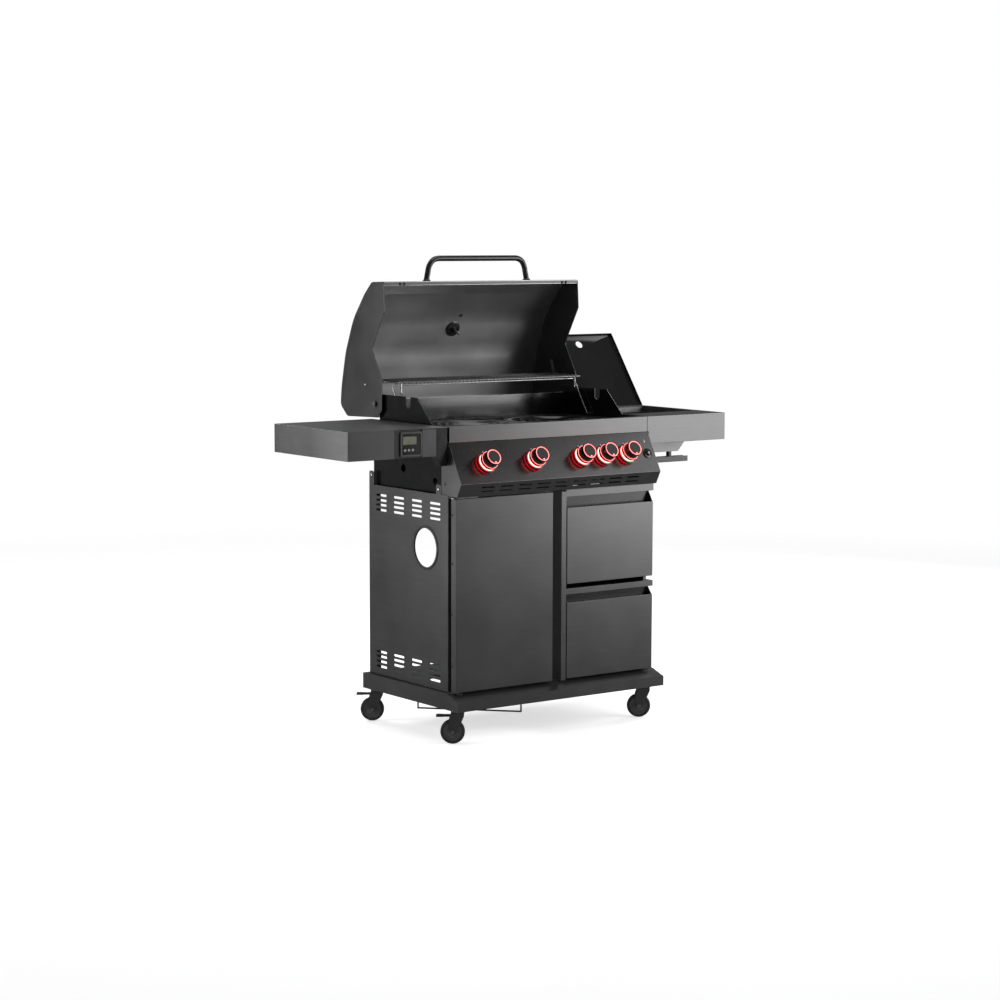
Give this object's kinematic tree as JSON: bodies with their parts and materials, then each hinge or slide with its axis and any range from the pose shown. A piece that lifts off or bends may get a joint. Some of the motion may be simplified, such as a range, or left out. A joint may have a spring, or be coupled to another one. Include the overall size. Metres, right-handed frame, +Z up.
{
  "type": "gas barbecue grill",
  "caption": "Gas barbecue grill on a wheeled cabinet with hinged lid, side burner, door, drawers, control knobs and side shelves.",
  "frame": {"origin": "on the floor under the middle of the bounding box", "axes": "+X to the cook's right, +Y to the back, +Z up"},
  "size_m": [1.376, 0.6638, 1.39],
  "materials": {
    "powder_black": "fine textured powder coat, satin",
    "panel_grey": "brushed anthracite coating, satin",
    "panel_dark": "smooth dark coating, satin",
    "enamel_black": "glossy speckled enamel",
    "cast_black": "matt enamelled cast iron",
    "burner_steel": "brushed stainless steel",
    "wire_chrome": "chromed wire",
    "valve_alloy": "die-cast alloy",
    "pan_light": "satin galvanised sheet",
    "plastic_black": "moulded, matt",
    "knob_black": "gloss moulded with red light rings",
    "button_light": "moulded, light grey",
    "tyre_black": "solid rubber tread"
  },
  "bodies": {
    "cart": {"base_tray": "powder_black", "left_side_panel": "panel_grey", "right_side_panel": "panel_grey", "drawer_frame": "panel_grey", "firebox": "enamel_black", "firebox_left_wall": "enamel_black", "firebox_right_wall": "enamel_black", "control_panel": "panel_dark", "front_trim": "panel_grey", "left_shelf": "panel_grey", "right_shelf": "panel_grey", "thermometer_housing": "plastic_black", "corner_cover": "plastic_black", "gas_manifold": "valve_alloy", "burner_1": "burner_steel", "burner_2": "burner_steel", "burner_3": "burner_steel", "burner_4": "burner_steel", "flame_tamer_1": "burner_steel", "flame_tamer_2": "burner_steel", "flame_tamer_3": "burner_steel", "flame_tamer_4": "burner_steel", "left_grate": "cast_black", "right_grate": "cast_black", "left_round_insert": "enamel_black", "right_round_insert": "enamel_black", "side_burner_grate": "cast_black", "side_burner_head": "cast_black", "side_burner_pan": "pan_light"},
    "lid": {"lid_shell": "powder_black", "lid_left_plate": "panel_grey", "lid_right_plate": "panel_grey", "lid_handle": "plastic_black", "lid_thermometer": "burner_steel"},
    "rack": {"warming_rack": "wire_chrome"},
    "legs": {"rack_legs": "wire_chrome"},
    "side_lid": {"side_burner_lid": "panel_grey"},
    "door": {"door": "panel_grey"},
    "upper_drawer": {"upper_drawer": "panel_grey"},
    "lower_drawer": {"lower_drawer": "panel_grey"},
    "grease_tray": {"grease_tray": "burner_steel"},
    "switch": {"light_switch": "plastic_black"},
    "knob_1": {"knob_1": "knob_black"},
    "knob_2": {"knob_2": "knob_black"},
    "knob_3": {"knob_3": "knob_black"},
    "knob_4": {"knob_4": "knob_black"},
    "knob_5": {"knob_5": "knob_black"},
    "button_1": {"thermometer_button_1": "button_light"},
    "button_2": {"thermometer_button_2": "button_light"},
    "button_3": {"thermometer_button_3": "button_light"},
    "front_left_fork": {"front_left_fork": "powder_black"},
    "front_left_wheel": {"front_left_wheel": "tyre_black"},
    "front_left_brake": {"front_left_brake": "plastic_black"},
    "front_right_fork": {"front_right_fork": "powder_black"},
    "front_right_wheel": {"front_right_wheel": "tyre_black"},
    "rear_left_fork": {"rear_left_fork": "powder_black"},
    "rear_left_wheel": {"rear_left_wheel": "tyre_black"},
    "rear_left_brake": {"rear_left_brake": "plastic_black"},
    "rear_right_fork": {"rear_right_fork": "powder_black"},
    "rear_right_wheel": {"rear_right_wheel": "tyre_black"}
  },
  "joints": [
    {"name": "lid_hinge", "type": "hinge", "parent": "cart", "child": "lid", "pos_m": [0.016, 0.135, 0.954], "axis": [1, 0, 0], "range_deg": [0, 90]},
    {"name": "rack_swing", "type": "hinge", "parent": "lid", "child": "rack", "pos_m": [0.016, 0.205, 1.059], "axis": [1, 0, 0], "range_deg": [-90, 0]},
    {"name": "leg_swing", "type": "hinge", "parent": "cart", "child": "legs", "pos_m": [0.016, 0.012, 0.905], "axis": [1, 0, 0], "range_deg": [0, 90]},
    {"name": "side_lid_hinge", "type": "hinge", "parent": "cart", "child": "side_lid", "pos_m": [0.546, 0.146, 0.909], "axis": [1, 0, 0], "range_deg": [0, 126]},
    {"name": "door_hinge", "type": "hinge", "parent": "cart", "child": "door", "pos_m": [-0.34, -0.269, 0.428], "axis": [0, 0, -1], "range_deg": [0, 110]},
    {"name": "upper_drawer_slide", "type": "slide", "parent": "cart", "child": "upper_drawer", "axis": [0, -1, 0], "range_m": [0, 0.33]},
    {"name": "lower_drawer_slide", "type": "slide", "parent": "cart", "child": "lower_drawer", "axis": [0, -1, 0], "range_m": [0, 0.33]},
    {"name": "grease_tray_slide", "type": "slide", "parent": "cart", "child": "grease_tray", "axis": [0, 1, 0], "range_m": [0, 0.28]},
    {"name": "knob_1_turn", "type": "hinge", "parent": "cart", "child": "knob_1", "pos_m": [-0.245, -0.28144, 0.80251], "axis": [0, -0.8785, 0.4778], "range_deg": [-210, 0]},
    {"name": "knob_2_turn", "type": "hinge", "parent": "cart", "child": "knob_2", "pos_m": [-0.073, -0.28144, 0.80251], "axis": [0, -0.8785, 0.4778], "range_deg": [-210, 0]},
    {"name": "knob_3_turn", "type": "hinge", "parent": "cart", "child": "knob_3", "pos_m": [0.1, -0.28144, 0.80251], "axis": [0, -0.8785, 0.4778], "range_deg": [-210, 0]},
    {"name": "knob_4_turn", "type": "hinge", "parent": "cart", "child": "knob_4", "pos_m": [0.183, -0.28144, 0.80251], "axis": [0, -0.8785, 0.4778], "range_deg": [-210, 0]},
    {"name": "knob_5_turn", "type": "hinge", "parent": "cart", "child": "knob_5", "pos_m": [0.27, -0.28144, 0.80251], "axis": [0, -0.8785, 0.4778], "range_deg": [-210, 0]},
    {"name": "switch_press", "type": "slide", "parent": "cart", "child": "switch", "axis": [0, 0.8785, -0.4778], "range_m": [0, 0.003], "stiffness_N_per_m": 500},
    {"name": "button_1_press", "type": "slide", "parent": "cart", "child": "button_1", "axis": [0, 1, 0], "range_m": [0, 0.0015], "stiffness_N_per_m": 500},
    {"name": "button_2_press", "type": "slide", "parent": "cart", "child": "button_2", "axis": [0, 1, 0], "range_m": [0, 0.0015], "stiffness_N_per_m": 500},
    {"name": "button_3_press", "type": "slide", "parent": "cart", "child": "button_3", "axis": [0, 1, 0], "range_m": [0, 0.0015], "stiffness_N_per_m": 500},
    {"name": "front_left_swivel", "type": "hinge", "parent": "cart", "child": "front_left_fork", "pos_m": [-0.328, -0.266, 0.1], "axis": [0, 0, 1], "continuous": true},
    {"name": "front_left_roll", "type": "hinge", "parent": "front_left_fork", "child": "front_left_wheel", "pos_m": [-0.34094, -0.2566, 0.0355], "axis": [-0.5878, -0.809, 0], "continuous": true},
    {"name": "front_left_brake_press", "type": "hinge", "parent": "front_left_fork", "child": "front_left_brake", "pos_m": [-0.33124, -0.26365, 0.083], "axis": [-0.5878, -0.809, 0], "range_deg": [0, 8]},
    {"name": "front_right_swivel", "type": "hinge", "parent": "cart", "child": "front_right_fork", "pos_m": [0.36, -0.266, 0.1], "axis": [0, 0, 1], "continuous": true},
    {"name": "front_right_roll", "type": "hinge", "parent": "front_right_fork", "child": "front_right_wheel", "pos_m": [0.34706, -0.2566, 0.0355], "axis": [-0.5878, -0.809, 0], "continuous": true},
    {"name": "rear_left_swivel", "type": "hinge", "parent": "cart", "child": "rear_left_fork", "pos_m": [-0.328, 0.154, 0.1], "axis": [0, 0, 1], "continuous": true},
    {"name": "rear_left_roll", "type": "hinge", "parent": "rear_left_fork", "child": "rear_left_wheel", "pos_m": [-0.34094, 0.1634, 0.0355], "axis": [-0.5878, -0.809, 0], "continuous": true},
    {"name": "rear_left_brake_press", "type": "hinge", "parent": "rear_left_fork", "child": "rear_left_brake", "pos_m": [-0.33124, 0.15635, 0.083], "axis": [-0.5878, -0.809, 0], "range_deg": [0, 8]},
    {"name": "rear_right_swivel", "type": "hinge", "parent": "cart", "child": "rear_right_fork", "pos_m": [0.36, 0.154, 0.1], "axis": [0, 0, 1], "continuous": true},
    {"name": "rear_right_roll", "type": "hinge", "parent": "rear_right_fork", "child": "rear_right_wheel", "pos_m": [0.34706, 0.1634, 0.0355], "axis": [-0.5878, -0.809, 0], "continuous": true}
  ],
  "couplings": [
    {"joint": "rack_swing", "follows": "lid_hinge", "ratio": -1},
    {"joint": "leg_swing", "follows": "lid_hinge", "ratio": 1}
  ]
}
